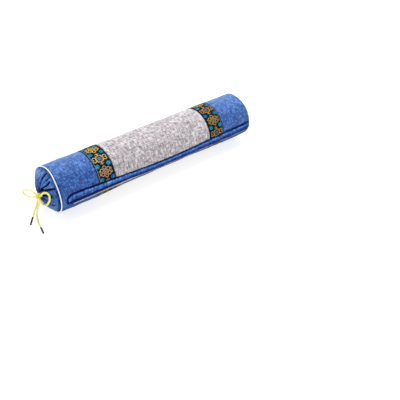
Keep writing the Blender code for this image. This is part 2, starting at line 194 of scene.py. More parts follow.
def circles(centre, a, b, radius, sides):
    """Rings of points round each centre, in the plane of a and b."""
    turn = round_ring(sides)[:, None]
    a, b = np.broadcast_to(a, centre.shape)[:, None, :], np.broadcast_to(b, centre.shape)[:, None, :]
    radius = np.broadcast_to(radius, (len(centre), sides))[..., None]
    return centre[:, None, :] + radius * (np.cos(turn) * a + np.sin(turn) * b)


def closed_tubes(tubes):
    """Points and faces of tubes through rings (rows, cols, 3), each closed by a fan at both ends."""
    verts, faces, start = [], [], 0
    for rings in tubes:
        rows, cols = rings.shape[:2]
        verts.append(np.vstack([rings.reshape(-1, 3), rings[0].mean(axis=0), rings[-1].mean(axis=0)]))
        faces += grid_faces(rows, cols, True, start).tolist()
        middle, last = start + rows * cols, start + (rows - 1) * cols
        for j in range(cols):
            k = (j + 1) % cols
            faces.append([middle, start + j, start + k])
            faces.append([middle + 1, last + k, last + j])
        start = middle + 2
    return np.vstack(verts), faces


def tube_piece(name, rings, look, node, flip=False, shade=None):
    verts, faces = closed_tubes([rings])
    if shade is not None:
        shade = np.concatenate([np.broadcast_to(shade, rings.shape[:2]).ravel(), [0.5, 0.5]])
    if flip:
        faces = [f[::-1] for f in faces]
    return mesh_piece(name, verts, faces, look, node, shade=shade)


# The roll's own shape.
def smooth_table(table, x, column):
    """A table's column at x, on one smooth curve through its rows."""
    xs, ys = table[:, 0], table[:, column]
    slopes = np.gradient(ys, xs)
    i = np.clip(np.searchsorted(xs, x) - 1, 0, len(xs) - 2)
    h = xs[i + 1] - xs[i]
    t = np.clip((x - xs[i]) / h, 0, 1)
    start = (1 + 2 * t) * ys[i] + t * h * slopes[i]
    stop = (3 - 2 * t) * ys[i + 1] + (t - 1) * h * slopes[i + 1]
    return (1 - t) ** 2 * start + t * t * stop


def low_edge(x):
    return smooth_table(FLAP_EDGES, x, 1)


def high_edge(x):
    into = np.clip((FLAP_START + FLAP_CORNER - x) / FLAP_CORNER, 0, 1)
    return smooth_table(FLAP_EDGES, x, 2) - FLAP_DROP * (1 - np.sqrt(1 - into * into))


def trough(turn, centre, depth):
    away = np.abs(wrapped(turn - centre))
    return depth * np.cos(0.5 * math.pi * np.minimum(1, away / 38)) ** 2


def near_end(x, reach):
    return np.clip((np.abs(x) - SEAM_X + reach) / (reach - 5), 0, 1) ** 2


def tuck(x, turn):
    """The section is drawn in along the lower front, and more towards the end seams."""
    middle = window(-150, -90, 120, 190, x)
    ends = trough(turn, -66, 4.4) * near_end(x, 34)
    return trough(turn, -45, 2.6) + trough(turn, -52, 2.3) * middle + ends


def seam_lean(turn):
    """The end seams lean in towards the middle at the top and underneath."""
    height = np.sin(np.radians(turn))
    return np.where(height > 0, 3 * height**6, 4 * height**4)


def swell(x, turn):
    angle = np.radians(turn)
    fade = np.maximum(0, 1 - (x / SEAM_X) ** 2)
    return 0.35 * fade * (np.sin(x / 47 + 2 * angle) + 0.6 * np.sin(x / 29 - 3 * angle + 1))


def fullness(x, turn):
    """The filled cloth's small unevenness: soft lumps, and puckers along its seams."""
    end = SEAM_X - np.abs(x)
    rise = 0.22 * ripples(3, x, turn, (45, 120), (1, 5)) + 0.1 * ripples(4, x, turn, (22, 45), (4, 11))
    rise = rise + 0.34 * ripples(5, x * 0.2, turn, (30, 60), (20, 44), 18) * bell(end - 5, 8)
    pucker = 0.17 * ripples(6, x * 0.2, turn, (30, 60), (22, 52), 18)
    for centre in RIBBON_CENTRES:
        past = np.abs(x - centre) - RIBBON_HALF
        rise = rise + pucker * np.where(past > 0, bell(past - 2, 6.5), 0.25)
    along = 0.28 * ripples(7, x, turn * 0.2, (9, 22), (1, 3), 20) * bell(turn - high_edge(x) - 4, 5)
    rise = rise + along * smoothstep(FLAP_START - 4, FLAP_START + 12, x)
    return np.maximum(-0.9, rise) * smoothstep(0, 6, end)


def rest_on(z, floor, softness):
    """Heights that come down softly onto a floor."""
    return floor + 0.5 * ((z - floor) + np.sqrt((z - floor) ** 2 + softness))


def on_roll(x, turn, inset, uneven=1, lift=0):
    """Points of the roll, in millimetres, at x and turn, under its outer surface by inset."""
    x, turn, inset, lift = np.broadcast_arrays(x, turn, inset, lift)
    angle = np.radians(turn)
    r = RADIUS + swell(x, turn) - tuck(x, turn) - inset + uneven * fullness(x, turn)
    z = rest_on(AXIS_Z + r * np.sin(angle), np.maximum(np.maximum(inset, lift), 0), 0.5)
    across = AXIS_Y - r * np.cos(angle)
    return np.stack([x - np.sign(x) * seam_lean(turn) * near_end(x, 30), across, z], axis=-1)


def outward(turn):
    angle = np.radians(turn)
    return np.stack([np.zeros_like(angle), -np.cos(angle), np.sin(angle)], axis=-1)


def radial(points):
    """Directions from the roll's axis to points."""
    return unit((points - (0, AXIS_Y, AXIS_Z)) * (0, 1, 1))


def flap_outline():
    """The flap's sewn edge laid out flat, as (x, distance round the roll): up its rounded end, then along."""
    corner = FLAP_START + FLAP_CORNER * (1 - np.cos(np.linspace(0, 0.5 * math.pi, 10)))
    x = np.concatenate([corner, np.linspace(-205, 245, 60)])
    start = (FLAP_START, low_edge(FLAP_START) + 1)
    return np.vstack([start, np.stack([x, high_edge(x)], axis=-1)]) * (1, MM_PER_DEGREE)


def in_grey(x):
    """1 along the grey middle, 0 at the blue ends."""
    return window(-140, -100, 155, 175, x)


def ditch_near(x, turn):
    """1 in the middle of the ditch along the flap's sewn edge, 0 away from it."""
    x, turn = np.broadcast_arrays(x, wrapped(turn))
    close = np.abs(turn) < 32
    near = np.zeros(x.shape)
    if close.any():
        width = 2.6 - 1.2 * in_grey(x[close])
        near[close] = bell(path_distance(x[close], turn[close] * MM_PER_DEGREE, flap_outline())[0], width)
    return near


def seam_inset(x, turn):
    """How far the cover is drawn in along the flap's seam and along the zip."""
    down = turn - low_edge(x)
    fade = smoothstep(FLAP_START - 6, FLAP_START + 2, x)
    rest = window(-7.6, -6.7, 2.2, 4.6, down)
    hem = 0.45 * bell(down + 8.4, 0.9)
    return np.maximum(3.3 * ditch_near(x, turn) ** 1.6, 1.4 * rest * fade) - hem * fade


def cover_shade(x, turn):
    """Painted shade and light on the cloth: darker down in the ditches, underneath, at the piping and at the
    ribbons.
    """
    grey = in_grey(x)
    height = np.sin(np.radians(turn))
    shade = 1 - (0.95 - 0.25 * grey) * ditch_near(x, turn) ** 0.6
    shade *= 0.3 + 0.7 * smoothstep(-0.4, -0.12, height)
    # painted light: a slightly paler right end, and more along the top of the blue cloth
    shade *= 1 + 0.1 * smoothstep(158, 170, x)
    shade *= 1 + 0.22 * (1 - grey) * smoothstep(0.72, 0.97, height)
    shade *= 1 - 0.78 * bell(SEAM_X - np.abs(x) - 0.6, 2.3)
    for centre in RIBBON_CENTRES:
        shade *= 1 - 0.35 * bell(np.abs(x - centre) - RIBBON_HALF - 0.6, 1.1)
    return shade


SHOULDER = np.array([
    # distance from the end seam, inset
    (0, 3), (0.35, 3), (1.2, 2.6), (1.9, 1.8), (2.1, 1.25), (2.5, 0.95), (3.2, 0.78), (4.2, 0.66),
    (6.5, 0.46), (9, 0.28), (12, 0.12), (16, 0), (600, 0),
])


def shoulder_inset(x):
    return np.interp(SEAM_X - np.abs(x), SHOULDER[:, 0], SHOULDER[:, 1])


def cover_inset(x, turn):
    groove = np.zeros(np.broadcast(x, turn).shape)
    for centre in RIBBON_CENTRES:
        past = np.abs(x - centre) - RIBBON_HALF - 0.3
        groove = np.maximum(groove, 1.3 * (1 - smoothstep(0, 1.1, past)))
    return np.maximum(np.maximum(seam_inset(x, turn), groove), shoulder_inset(x))


def turn_columns(x, step):
    """Turns of the cover's columns at each x: close together at the zip and the flap, even elsewhere."""
    low, high = low_edge(x)[:, None], high_edge(x)[:, None]
    near_low = low + np.concatenate([np.arange(-10.5, 4.01, 0.5), [5.2]])
    a, b = low + 5.2, np.maximum(low + 6.2, high - 5.2)
    middle = a + (b - a) * np.linspace(0, 1, 5)[None, 1:-1]
    near_high = np.maximum(high, low + 12) + np.concatenate([np.arange(-5, 6.01, 0.45), [7, 8.5]])
    start, stop = near_high[:, -1:], 360 + near_low[:, :1]
    count = int(round(315 / step))
    rest = start + (stop - start) * np.linspace(0, 1, count + 2)[None, 1:-1]
    return np.hstack([near_low, middle, near_high, rest])


def x_stations(x0, x1, step):
    """Places along x, even, and closer beside the piping and at the ribbons' edges."""
    marks = [np.linspace(x0, x1, max(2, int(round((x1 - x0) / step)) + 1))]
    for centre in RIBBON_CENTRES:
        for side in (-1, 1):
            marks.append(centre + side * (RIBBON_HALF + np.array([0.2, 0.5, 0.8, 1.1, 1.4, 2])))
    close = np.array([0.35, 0.8, 1.3, 1.8, 2.2, 2.4, 2.6, 3, 3.5, 4.2, 5.2, 6.4])
    marks += [close - SEAM_X, SEAM_X - close]
    x = np.unique(np.round(np.concatenate(marks), 3))
    x = x[(x >= x0) & (x <= x1)]
    keep = [x[0]]
    for value in x[1:-1]:
        if value - keep[-1] > 0.19:
            keep.append(value)
    return np.array(keep + [x[-1]])


# Materials.
class Nodes:
    """A small builder for shader nodes."""

    def __init__(self, name):
        self.material = bpy.data.materials.new(name)
        self.material.use_nodes = True
        self.tree = self.material.node_tree
        self.shader = self.tree.nodes["Principled BSDF"]

    def put(self, socket, value):
        if isinstance(value, bpy.types.NodeSocket):
            self.tree.links.new(value, socket)
        else:
            socket.default_value = value

    def node(self, kind, *values):
        node = self.tree.nodes.new("ShaderNode" + kind)
        for socket, value in zip(node.inputs, values):
            self.put(socket, value)
        return node

    def math(self, kind, *values, clamp=False):
        node = self.node("Math", *values)
        node.operation = kind
        node.use_clamp = clamp
        return node.outputs[0]

    def mul(self, a, b, clamp=False):
        return self.math("MULTIPLY", a, b, clamp=clamp)

    def add(self, a, b):
        return self.math("ADD", a, b)

    def wave(self, value, length):
        """A sine that changes its sign at each length."""
        return self.math("SINE", self.mul(value, math.pi / length))

    def ribs(self, value, length):
        """Rounded ribs, one to each length."""
        return self.math("ABSOLUTE", self.wave(value, length))

    def steps(self, value, length):
        return self.math("FLOOR", self.math("DIVIDE", value, length))

    def remap(self, value, a, b, c=0, d=1):
        return self.node("MapRange", value, a, b, c, d).outputs[0]

    def mix(self, share, a, b, kind="MIX"):
        node = self.tree.nodes.new("ShaderNodeMix")
        node.data_type = "RGBA"
        node.blend_type = kind
        for k, value in ((0, share), (6, a), (7, b)):
            self.put(node.inputs[k], (*value, 1) if isinstance(value, tuple) else value)
        return node.outputs[2]

    def times(self, a, b):
        return self.mix(1, a, b, "MULTIPLY")

    def tones(self, value, stops, colours):
        """Three colours at three stops of a value."""
        lower = self.mix(self.remap(value, *stops[:2]), *colours[:2])
        return self.mix(self.remap(value, *stops[1:]), lower, colours[2])

    def vector(self, x, y, z=0):
        return self.node("CombineXYZ", x, y, z).outputs[0]

    def even(self, value):
        return self.vector(value, value, value)

    def scaled(self, scale, *values):
        return self.vector(*[self.mul(value, scale) for value in values])

    def split(self, vector):
        return self.node("SeparateXYZ", vector).outputs

    def noise(self, vector, detail=2, rough=0.5):
        node = self.tree.nodes.new("ShaderNodeTexNoise")
        for name, value in (("Vector", vector), ("Scale", 1), ("Detail", detail), ("Roughness", rough)):
            self.put(node.inputs[name], value)
        return node.outputs[0]

    def chance(self, vector):
        node = self.tree.nodes.new("ShaderNodeTexWhiteNoise")
        node.noise_dimensions = "3D"
        self.put(node.inputs["Vector"], vector)
        return node.outputs[0]

    def attribute(self, name):
        node = self.tree.nodes.new("ShaderNodeAttribute")
        node.attribute_name = name
        return node.outputs

    def place(self):
        """x, y and z of the surface in millimetres, in the part's own frame."""
        where = self.tree.nodes.new("ShaderNodeTexCoord").outputs["Object"]
        return [self.mul(out, 1000) for out in self.split(where)]

    def round_roll(self):
        """(x, distance round the roll, distance from its axis), in millimetres."""
        x, y, z = self.place()
        dy, dz = self.math("SUBTRACT", AXIS_Y, y), self.math("SUBTRACT", z, AXIS_Z)
        turn = self.math("ARCTAN2", dz, dy)
        far = self.math("SQRT", self.add(self.mul(dy, dy), self.mul(dz, dz)))
        return x, self.mul(turn, RADIUS), far

    def bump(self, height, distance, strength):
        node = self.tree.nodes.new("ShaderNodeBump")
        for name, value in (("Height", height), ("Distance", distance), ("Strength", strength)):
            self.put(node.inputs[name], value)
        self.put(self.shader.inputs["Normal"], node.outputs[0])

    def surface(self, values):
        for name, value in values.items():
            self.put(self.shader.inputs[name], value)
        return self.material


LINEN_PITCH, SLUB_PITCH, WOBBLE = 1.1, 1.5, 1.1
SHEEN_TINT = (0.55, 0.78, 1, 1)


def linen(name, tones, contrast, sheen, gloss=0.12, deep=(2.1, 1.25, 0.6), gathered=False):
    """Melange linen in plain weave: threads along and across the roll, each uneven in colour and thickness.

    deep says how fast red, green and blue fade where the painted shade is low."""
    n = Nodes(name)
    x, around, far = n.round_roll()
    s = n.add(far, n.mul(x, 0.8)) if gathered else x
    wobble = n.noise(n.scaled(0.11, s, around))
    s, t = n.add(s, n.mul(wobble, WOBBLE)), n.add(around, n.mul(wobble, -WOBBLE))
    i, j = n.steps(s, LINEN_PITCH), n.steps(t, LINEN_PITCH)
    over = n.math("MODULO", n.math("ABSOLUTE", n.add(i, j)), 2)
    # each thread's own changes of colour along its length
    ring = n.noise(n.vector(n.mul(i, 7.31), n.mul(t, 0.17), 3), 1)
    line = n.noise(n.vector(n.mul(s, 0.17), n.mul(j, 7.31), 9), 1)
    thread = n.split(n.mix(over, n.even(ring), n.even(line)))[0]
    # slubs that show from a step away, as short streaks both ways
    thick_s, thick_t = n.mul(n.steps(s, SLUB_PITCH), 5.17), n.mul(n.steps(t, SLUB_PITCH), 5.17)
    across = n.noise(n.vector(thick_s, n.mul(t, 0.1), 5), 0)
    along = n.noise(n.vector(n.mul(s, 0.1), thick_t, 7), 0)
    patch = n.noise(n.vector(n.mul(s, 0.03), n.mul(t, 0.03), 1), 3)
    value = 0.5
    for part, weight in ((thread, 0.9), (across, 1.45), (along, 1.3), (patch, 0.12)):
        value = n.add(value, n.mul(n.math("SUBTRACT", part, 0.5), weight * contrast))
    colour = n.tones(value, (0, 0.5, 1), tones)
    # rounded threads, over and under
    a, b = n.ribs(s, LINEN_PITCH), n.ribs(t, LINEN_PITCH)
    top = n.split(n.mix(over, n.vector(a, b), n.vector(b, a)))
    height = n.mul(n.math("POWER", top[0], 0.6), n.add(0.45, n.mul(top[1], 0.55)))
    # painted shade: darker between the rounded threads and wherever the points' shade is low; the gloss and
    # sheen are cut with it too
    shade = n.attribute("shade")["Fac"]
    gap = n.mul(n.remap(height, 0, 0.5, 0.6, 1), shade)
    shadow = n.vector(*[n.math("POWER", gap, power) for power in deep])
    n.bump(n.add(height, n.add(n.mul(across, 0.5), n.mul(along, 0.5))), 0.00022, 0.8)
    return n.surface({
        "Base Color": n.times(colour, shadow),
        "Roughness": n.remap(value, 0, 1, 0.92 - 0.55 * gloss, 0.78 - 0.55 * gloss),
        "Specular IOR Level": n.mul(shade, gloss, clamp=True),
        "Sheen Weight": n.mul(shade, sheen, clamp=True),
        "Sheen Roughness": 0.42,
        "Sheen Tint": SHEEN_TINT,
    })


def satin(name, colour, shade):
    """Bias-cut satin over a cord: fine slanting threads and faint wrinkles, with painted shade in the
    wrinkles towards the shade colour.
    """
    n = Nodes(name)
    x, around, far = n.round_roll()
    skew = n.add(around, x)
    soft = n.noise(n.vector(n.mul(skew, 0.45), n.mul(far, 0.3), x), 3, 0.6)
    n.bump(n.add(n.mul(n.wave(skew, 0.275), 0.3), soft), 0.00025, 0.6)
    return n.surface({
        "Base Color": n.mix(n.remap(soft, 0.3, 0.75), shade, colour),
        "Roughness": n.remap(soft, 0.2, 0.8, 0.5, 0.36),
        "Sheen Weight": 0.2,
    })


def jacquard():
    """The ribbon's threads: each cell's own colour, fine weft lines of painted shade between the threads,
    random flecks, and some metallic glint in the gold.
    """
    n = Nodes("ribbon_jacquard")
    cell = n.attribute("thread")
    x, around, _ = n.round_roll()
    weft, warp = n.ribs(around, THREAD), n.ribs(x, THREAD)
    fleck = n.chance(n.vector(n.steps(x, THREAD), n.steps(around, THREAD)))
    shade = n.mul(n.remap(weft, 0, 1, 0.72, 1.06), n.remap(fleck, 0, 1, 0.82, 1.12))
    n.bump(n.add(weft, n.mul(warp, 0.5)), 0.00012, 0.7)
    return n.surface({
        "Base Color": n.times(cell["Color"], n.even(shade)),
        "Metallic": n.mul(cell["Alpha"], 0.25),
        "Roughness": n.remap(cell["Alpha"], 0, 1, 0.8, 0.55),
        "Specular IOR Level": 0.05,
    })


def tape(name, colour, shade):
    """Close-woven zip tape: fine ribs across it, with painted shade between them and the points' painted
    shade over all.
    """
    n = Nodes(name)
    x, around, _ = n.round_roll()
    rib = n.ribs(x, 0.5)
    soft = n.noise(n.vector(n.mul(x, 0.5), n.mul(around, 0.8)))
    lit = n.attribute("shade")["Fac"]
    weave = n.mix(n.mul(rib, soft), shade, colour)
    n.bump(rib, 0.0001, 0.6)
    return n.surface({"Base Color": n.times(weave, n.even(lit)), "Roughness": 0.7})


def braid(name, *tones):
    """Round braided polyester cord: the strands are in the mesh, and this adds their fine fibres."""
    n = Nodes(name)
    where = n.place()
    fibre = n.noise(n.scaled(1.6, *where), 4, 0.7)
    patch = n.noise(n.scaled(0.12, *where))
    value = n.add(n.mul(fibre, 0.7), n.mul(patch, 0.3))
    n.bump(fibre, 0.00012, 0.5)
    return n.surface({
        "Base Color": n.tones(value, (0.3, 0.5, 0.72), tones),
        "Roughness": n.remap(fibre, 0.3, 0.7, 0.55, 0.42),
        "Sheen Weight": 0.2,
    })


def dark_metal(name):
    """Gunmetal cord ends: dark plating with fine brushing and small scuffs."""
    n = Nodes(name)
    scuff = n.noise(n.scaled(2, *n.place()), 5, 0.7)
    n.bump(scuff, 0.00004, 0.5)
    return n.surface({
        "Base Color": n.mix(n.remap(scuff, 0.45, 0.75), (0.022, 0.02, 0.02), (0.16, 0.15, 0.15)),
        "Roughness": n.remap(scuff, 0.3, 0.8, 0.22, 0.42),
        "Metallic": 0.75,
    })


def sewing_thread(name, colour):
    n = Nodes(name)
    x, y, z = n.place()
    ply = n.wave(n.add(n.add(x, y), z), 0.175)
    n.bump(ply, 0.00005, 0.5)
    # painted shade: darker between the plies
    dark = tuple(0.5 * c for c in colour)
    return n.surface({"Base Color": n.mix(n.remap(ply, -1, 1, 0, 0.35), colour, dark), "Roughness": 0.55})


BLUE = ((0.006, 0.027, 0.15), (0.022, 0.085, 0.355), (0.105, 0.27, 0.69))
GREY = ((0.21, 0.18, 0.19), (0.5, 0.455, 0.475), (0.86, 0.83, 0.85))
blue_cloth = linen("blue_linen", BLUE, 0.78, 0.85, 0.27)
blue_end_cloth = linen("blue_linen_gathered", BLUE, 0.75, 0.6, 0.12, (1.35, 1.15, 0.85), gathered=True)
blue_fold_cloth = linen("blue_linen_folded", BLUE, 0.8, 0.3, 0.08)
grey_cloth = linen("grey_linen", GREY, 0.85, 0.05, deep=(1.05, 1, 0.9))
white_satin = satin("white_satin", (0.9, 0.97, 1), (0.8, 0.92, 1))
ribbon_look = jacquard()
cream_tape = tape("zip_tape_cream", (0.8, 0.81, 0.8), (0.62, 0.63, 0.62))
# one cord in three copies of its colours: the pale one for the back loop and the ends is painted light, and
# the deeper one for the knot painted shade
yellow_braid = braid("yellow_braid", (0.7, 0.54, 0.03), (0.95, 0.86, 0.14), (1, 0.97, 0.42))
pale_braid = braid("yellow_braid_pale", (0.74, 0.64, 0.14), (0.95, 0.92, 0.34), (1, 0.98, 0.6))
knot_braid = braid("yellow_braid_knot", (0.62, 0.42, 0.01), (0.9, 0.76, 0.05), (1, 0.93, 0.24))
tip_metal = dark_metal("gunmetal")
blue_thread = sewing_thread("blue_thread", (0.015, 0.04, 0.16))
teal_thread = sewing_thread("teal_thread", (0.015, 0.05, 0.065))


# The drawstring, before what it hangs from.
def spline(points, spacing=0.35):
    """Evenly spaced points on one smooth curve through a route's own points, in millimetres."""
    fine = rounded(points, 40)
    length = lengths_along(fine)
    wanted = np.linspace(0, length[-1], max(2, int(round(length[-1] / spacing)) + 1))
    return at_lengths(wanted, length, fine)


def frames(line):
    """A steady direction and pair of normals along a line, carried on without twist."""
    along = unit(np.gradient(line, axis=0))
    first = np.cross(along[0], (0, 0, 1))
    if np.linalg.norm(first) < 0.1:
        first = np.cross(along[0], (0, 1, 0))
    side = [unit(first)]
    for direction in along[1:]:
        side.append(unit(side[-1] - direction * np.dot(side[-1], direction)))
    side = np.array(side)
    return along, side, np.cross(along, side)


def braided(line, radius, sides=24):
    """Rings of a round cord of crossing strands along a line."""
    _, a, b = frames(line)
    step = lengths_along(line)
    turn = round_ring(sides)
    lay = step[:, None] * FULL_TURN / (2.6 * radius)
    right = np.abs(np.sin(2 * (turn[None, :] + lay * 0.5)))
    left = np.abs(np.sin(2 * (turn[None, :] - lay * 0.5)))
    r = radius * (0.91 + 0.1 * np.maximum(right, left))
    ends = np.minimum(step, step[-1] - step)[:, None] / radius
    r = r * np.sqrt(np.clip(ends * (2 - np.minimum(ends, 1)), 0.05, 1))
    return circles(line, a, b, r, sides)


CORD_RADIUS = 1.9
KNOT = np.array((-263, -3, 48.5))
LOOP_BACK = (
    (-265.6, 2.6, 50.2), (-267.5, 8.5, 53), (-271, 17.5, 54), (-275.5, 27, 49.5), (-278, 31.5, 43.5),
    (-276.5, 29.5, 38), (-272.5, 21.5, 36), (-268, 11, 39), (-265.4, 2.8, 45.4),
)
LOOP_FRONT = (
    (-262.6, -8.6, 51), (-261, -10.8, 55.6), (-258.9, -14.9, 60.9), (-256.4, -20.1, 64.3),
    (-254.5, -25.8, 64.4), (-253.7, -29.2, 60.4), (-254.3, -29.8, 53.2), (-255.8, -27.2, 45),
    (-257.6, -22.4, 37.1), (-259.2, -16, 32.7), (-261.2, -11.4, 34.1), (-263.2, -9.6, 39.8),
    (-264.8, -9.2, 45.6),
)
END_BACK = (
    (-265.4, -1.4, 43), (-266, -1, 37.2), (-267.2, -1.1, 31.4), (-269.3, -1.6, 26), (-272.2, -2.4, 21.2),
    (-275.3, -3.7, 16.9), (-278.4, -5.6, 13.4), (-281.1, -7.8, 11), (-283.2, -9.7, 9.7),
)
END_FRONT = (
    (-262.6, -5.8, 43), (-264.4, -6, 36), (-266.9, -6.3, 29), (-269.6, -6.9, 22.2), (-272.2, -8, 15.8),
    (-274.3, -10, 10), (-275.8, -13.2, 5.8), (-277.2, -17.8, 3.3), (-278.7, -23.4, 2.5), (-280.3, -30, 2.4),
    (-281.9, -37.3, 2.4),
)
KNOT_STRANDS = (
    # crossing strands, from the knot's middle
    ((-1.2, 6.2, 1.4), (0.3, 2, 0.6), (0.5, -2, 0.8), (1, -6.2, 2.6)),
    ((-1.8, 6.2, -2.8), (-0.6, 2.2, -1.2), (-0.9, -1.6, -1.4), (-1.4, -2, -5.4)),
    ((-1, -6.2, -3), (-0.4, -2.6, -1.2), (0.4, 0.4, -1), (0.2, -1.8, -5.6)),
)
NECK_STRANDS = (
    # the doubled neck, from the roll's mouth into the knot
    ((-244, AXIS_Y + 1.3, AXIS_Z + 0.3), (-252, AXIS_Y + 1.5, AXIS_Z + 0.2), (-258.5, 0, 48.4),
     KNOT + (1, 1.2, 0.2)),
    ((-244, AXIS_Y - 1.5, AXIS_Z - 0.3), (-252, AXIS_Y - 1.7, AXIS_Z - 0.2), (-258.5, -3, 47.8),
     KNOT + (1, -1.4, 0.4)),
)


def knot_piece():
    """The bow's knot: a double wrap round the crossing strands, and the doubled neck from the mouth."""
    turn = np.linspace(0, FULL_TURN * 2.1, 26) - 0.35
    wrap = KNOT + np.stack([4.5 * np.cos(turn), -3.6 + 7 * (turn + 0.35) / 13.2, 4.5 * np.sin(turn)], axis=-1)
    lines = [wrap] + [KNOT + np.array(strand) for strand in KNOT_STRANDS] + list(NECK_STRANDS)
    verts, faces = closed_tubes(braided(spline(line), CORD_RADIUS * 0.96, 20) for line in lines)
    return mesh_piece("bow_knot_tied", verts, faces, knot_braid, "bow_knot")


TIP_SCALE = 0.89
TIP_PROFILE = np.array([
    # distance along, radius before scaling: crimped collar, plain barrel with two grooves, rounded nose
    (-0.6, 1.45), (-0.6, 1.95), (-0.3, 2.14), (0.5, 2.2), (1.1, 2.1), (1.35, 1.86), (1.7, 1.86), (1.95, 2.06),
    (2.6, 2.1), (2.9, 1.88), (3.2, 1.88), (3.5, 2.02), (8, 2.02), (12.6, 1.95), (13, 1.74), (13.4, 1.74),
    (13.8, 2.08), (14.9, 2.12), (15.6, 1.8), (15.9, 1.1), (16, 0),
])


def tip_piece(name, line, node):
    """A turned gunmetal end on a cord's last point."""
    sides = 28
    direction = unit(line[-1] - line[-2])
    _, a, b = frames(np.array([line[-1], line[-1] + direction]))
    far, radius = TIP_PROFILE[:, :1], TIP_PROFILE[:, 1:]
    turn = round_ring(sides)
    crimp = 1 + 0.05 * np.cos(6 * turn)[None, :] * bell(far - 0.3, 0.8)
    middle = line[-1] + direction * (0.35 + far)
    rings = circles(middle, a[0], b[0], radius * TIP_SCALE * crimp, sides)
    return tube_piece(name, rings, tip_metal, node)


def cord_piece(name, route, node, look):
    line = spline(route)
    obj = tube_piece(name, braided(line, CORD_RADIUS), look, node)
    length = float(lengths_along(line)[-1])
    return round(length, 1)


knot_obj = knot_piece()
tip_back = tip_piece("tip_back_metal", spline(END_BACK), "tip_end_back")
tip_front = tip_piece("tip_front_metal", spline(END_FRONT), "tip_end_front")
print("cord lengths, mm", [
    cord_piece("drawstring_loop_back", LOOP_BACK, "cord_loop_back", pale_braid),
    cord_piece("drawstring_loop_front", LOOP_FRONT, "cord_loop_front", yellow_braid),
    cord_piece("drawstring_end_back", END_BACK, "cord_end_back", pale_braid),
    cord_piece("drawstring_end_front", END_FRONT, "cord_end_front", pale_braid),
])


# The cover's panels.
BACK_X, BACK_RADIUS = 231, 36


def panel_piece(name, x0, x1, look, node, step):
    x = x_stations(x0, x1, step)
    turn = turn_columns(x, 1.75)
    shoulder = shoulder_inset(x)[:, None]
    inset = cover_inset(x[:, None], turn)
    rings = on_roll(x[:, None], turn, inset, lift=shoulder + 1.2 * np.minimum(1, shoulder))
    shade = cover_shade(x[:, None], turn)
    # at an end seam, the panel closes inside the gathered end
    for end, here in ((0, x0 < 1 - SEAM_X), (-1, x1 > SEAM_X - 1)):
        if here:
            back = (math.copysign(BACK_X, x[end]), AXIS_Y, AXIS_Z) + BACK_RADIUS * outward(turn[end])
            place = 0 if end == 0 else len(rings)
            rings = np.insert(rings, place, back, axis=0)
            shade = np.insert(shade, place, shade[end], axis=0)
    tube_piece(name, rings, look, node, shade=shade)


SEAM_GAP, RIBBON_GAP = 0.35, 0.18
JOINS = [centre + side * RIBBON_GAP for centre in RIBBON_CENTRES for side in (-1, 1)]
panel_piece("cover_left", -SEAM_X + SEAM_GAP, JOINS[0], blue_cloth, "panel_left", 1.5)
panel_piece("cover_middle", JOINS[1], JOINS[2], grey_cloth, "panel_middle", 1.7)
panel_piece("cover_right", JOINS[3], SEAM_X - SEAM_GAP, blue_cloth, "panel_right", 1.5)


# The gathered ends.
CAP_RIM = np.array([
    # distance past the seam, radius
    (-8, 36), (0.35, 46.6), (0.9, 46.7), (1.4, 46.9), (1.8, 47.2), (2.05, 47.45), (2.3, 47.3), (2.5, 46.95),
])
CAP_MOUTH = np.array([(17, 5.4), (16.2, 4.8), (15, 4.4), (13, 4.2), (10, 4.1), (7, 4)])
CAP_HEIGHT, CAP_REACH, SEAM_RADIUS = 18, 45, 46.7


